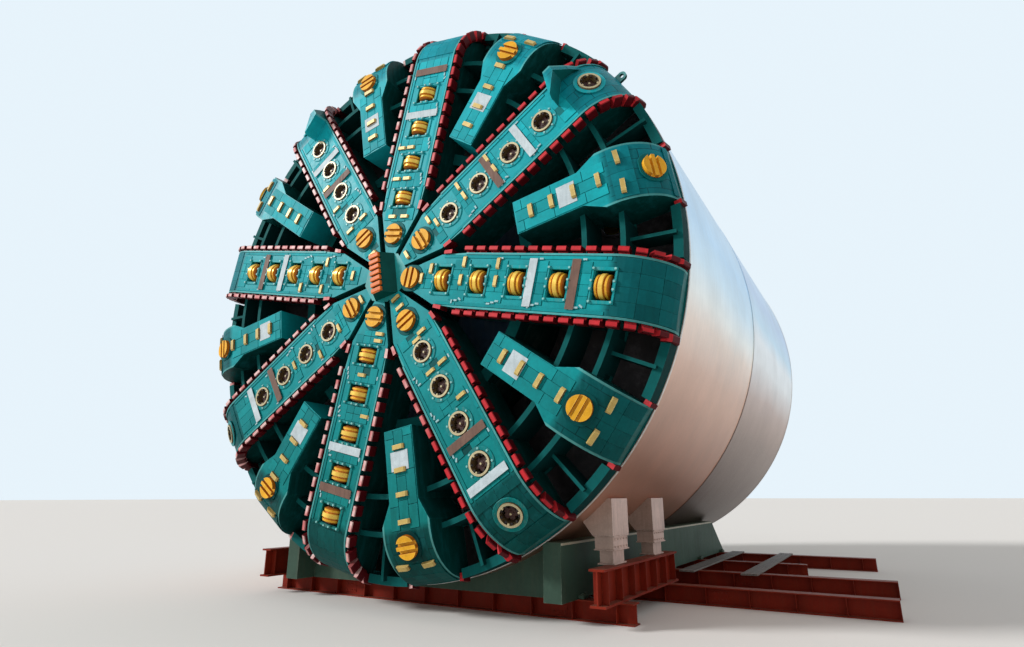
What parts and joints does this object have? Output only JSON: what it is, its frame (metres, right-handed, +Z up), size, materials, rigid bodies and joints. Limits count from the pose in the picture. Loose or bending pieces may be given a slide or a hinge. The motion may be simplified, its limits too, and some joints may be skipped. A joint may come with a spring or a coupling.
{
  "type": "tunnel boring machine (earth pressure balance shield)",
  "caption": "Large earth pressure balance tunnel shield with a spoked cutterhead, roller cutters, two-part steel shell, thrust jacks and erector on its cradle.",
  "frame": {"origin": "on the floor below the tunnel axis, under the middle of the base frame's first cross beam, 2.6 m behind the cutterhead's flat front face", "axes": "+Z up, the cutterhead faces -Y, +X is to the right when the face is looked at"},
  "size_m": [23.8, 21.02, 18.1308],
  "materials": {
    "head_teal": "satin",
    "bit_red": "satin",
    "cutter_gold": "satin",
    "cup_gold": "satin",
    "bit_cream": "satin",
    "bit_orange": "satin",
    "shield_silver": "satin",
    "seam_dark": "matte",
    "inner_grey": "matte",
    "drive_blue": "satin",
    "jack_grey": "satin",
    "ram_chrome": "polished",
    "erector_yellow": "satin",
    "seal_dark": "matte",
    "cradle_green": "matte",
    "bracket_grey": "satin",
    "beam_oxide": "matte"
  },
  "bodies": {
    "machine": {"front_shield": "shield_silver", "rear_shield": "shield_silver", "seam_ring": "seam_dark", "bulkhead": "inner_grey", "main_drive": "inner_grey", "drive_motors": "drive_blue", "screw_casing": "inner_grey", "thrust_jacks": "jack_grey", "erector_frame": "inner_grey", "tail_seal": "seal_dark", "cradle": "cradle_green", "side_brackets": "bracket_grey", "base_frame": "beam_oxide"},
    "cutterhead": {"main_spoke_1": "head_teal", "main_spoke_2": "head_teal", "main_spoke_3": "head_teal", "main_spoke_4": "head_teal", "main_spoke_5": "head_teal", "main_spoke_6": "head_teal", "main_spoke_7": "head_teal", "main_spoke_8": "head_teal", "short_spoke_1": "head_teal", "short_spoke_2": "head_teal", "short_spoke_3": "head_teal", "short_spoke_4": "head_teal", "short_spoke_5": "head_teal", "short_spoke_6": "head_teal", "short_spoke_7": "head_teal", "short_spoke_8": "head_teal", "ring_beams": "head_teal", "head_drum": "head_teal", "centre_bit": "bit_orange", "cutter_cups": "cup_gold", "fixed_cutters": "cutter_gold", "edge_bits": "bit_red", "face_bits": "bit_cream"},
    "cutters_1": {"cutter_row_1": "cutter_gold"},
    "cutters_3": {"cutter_row_3": "cutter_gold"},
    "cutters_5": {"cutter_row_5": "cutter_gold"},
    "cutters_7": {"cutter_row_7": "cutter_gold"},
    "gate": {"screw_gate": "erector_yellow"},
    "rams_1": {"thrust_rams_1": "ram_chrome"},
    "rams_2": {"thrust_rams_2": "ram_chrome"},
    "rams_3": {"thrust_rams_3": "ram_chrome"},
    "rams_4": {"thrust_rams_4": "ram_chrome"},
    "erector": {"erector_ring": "erector_yellow"},
    "erector_hand": {"erector_arm": "erector_yellow"}
  },
  "joints": [
    {"name": "cutterhead_spin", "type": "hinge", "parent": "machine", "child": "cutterhead", "pos_m": [0, -2.6, 9.35], "axis": [0, 1, 0], "continuous": true},
    {"name": "cutters_1_roll", "type": "hinge", "parent": "cutterhead", "child": "cutters_1", "pos_m": [1.9514, -2.46, 8.9118], "axis": [0.9757, 0, -0.2191], "continuous": true},
    {"name": "cutters_3_roll", "type": "hinge", "parent": "cutterhead", "child": "cutters_3", "pos_m": [0.4382, -2.46, 11.3014], "axis": [0.2191, 0, 0.9757], "continuous": true},
    {"name": "cutters_5_roll", "type": "hinge", "parent": "cutterhead", "child": "cutters_5", "pos_m": [-1.9514, -2.46, 9.7882], "axis": [-0.9757, 0, 0.2191], "continuous": true},
    {"name": "cutters_7_roll", "type": "hinge", "parent": "cutterhead", "child": "cutters_7", "pos_m": [-0.4382, -2.46, 7.3986], "axis": [-0.2191, 0, -0.9757], "continuous": true},
    {"name": "screw_gate_slide", "type": "slide", "parent": "machine", "child": "gate", "axis": [0, -0.9511, -0.309], "range_m": [0, 1.4]},
    {"name": "thrust_rams_1_slide", "type": "slide", "parent": "machine", "child": "rams_1", "axis": [0, 1, 0], "range_m": [0, 2.5]},
    {"name": "thrust_rams_2_slide", "type": "slide", "parent": "machine", "child": "rams_2", "axis": [0, 1, 0], "range_m": [0, 2.5]},
    {"name": "thrust_rams_3_slide", "type": "slide", "parent": "machine", "child": "rams_3", "axis": [0, 1, 0], "range_m": [0, 2.5]},
    {"name": "thrust_rams_4_slide", "type": "slide", "parent": "machine", "child": "rams_4", "axis": [0, 1, 0], "range_m": [0, 2.5]},
    {"name": "erector_turn", "type": "hinge", "parent": "machine", "child": "erector", "pos_m": [0, 11.3, 9.35], "axis": [0, 1, 0], "range_deg": [-200, 200]},
    {"name": "erector_reach", "type": "slide", "parent": "erector", "child": "erector_hand", "axis": [0, 0, 1], "range_m": [0, 1.1]}
  ]
}
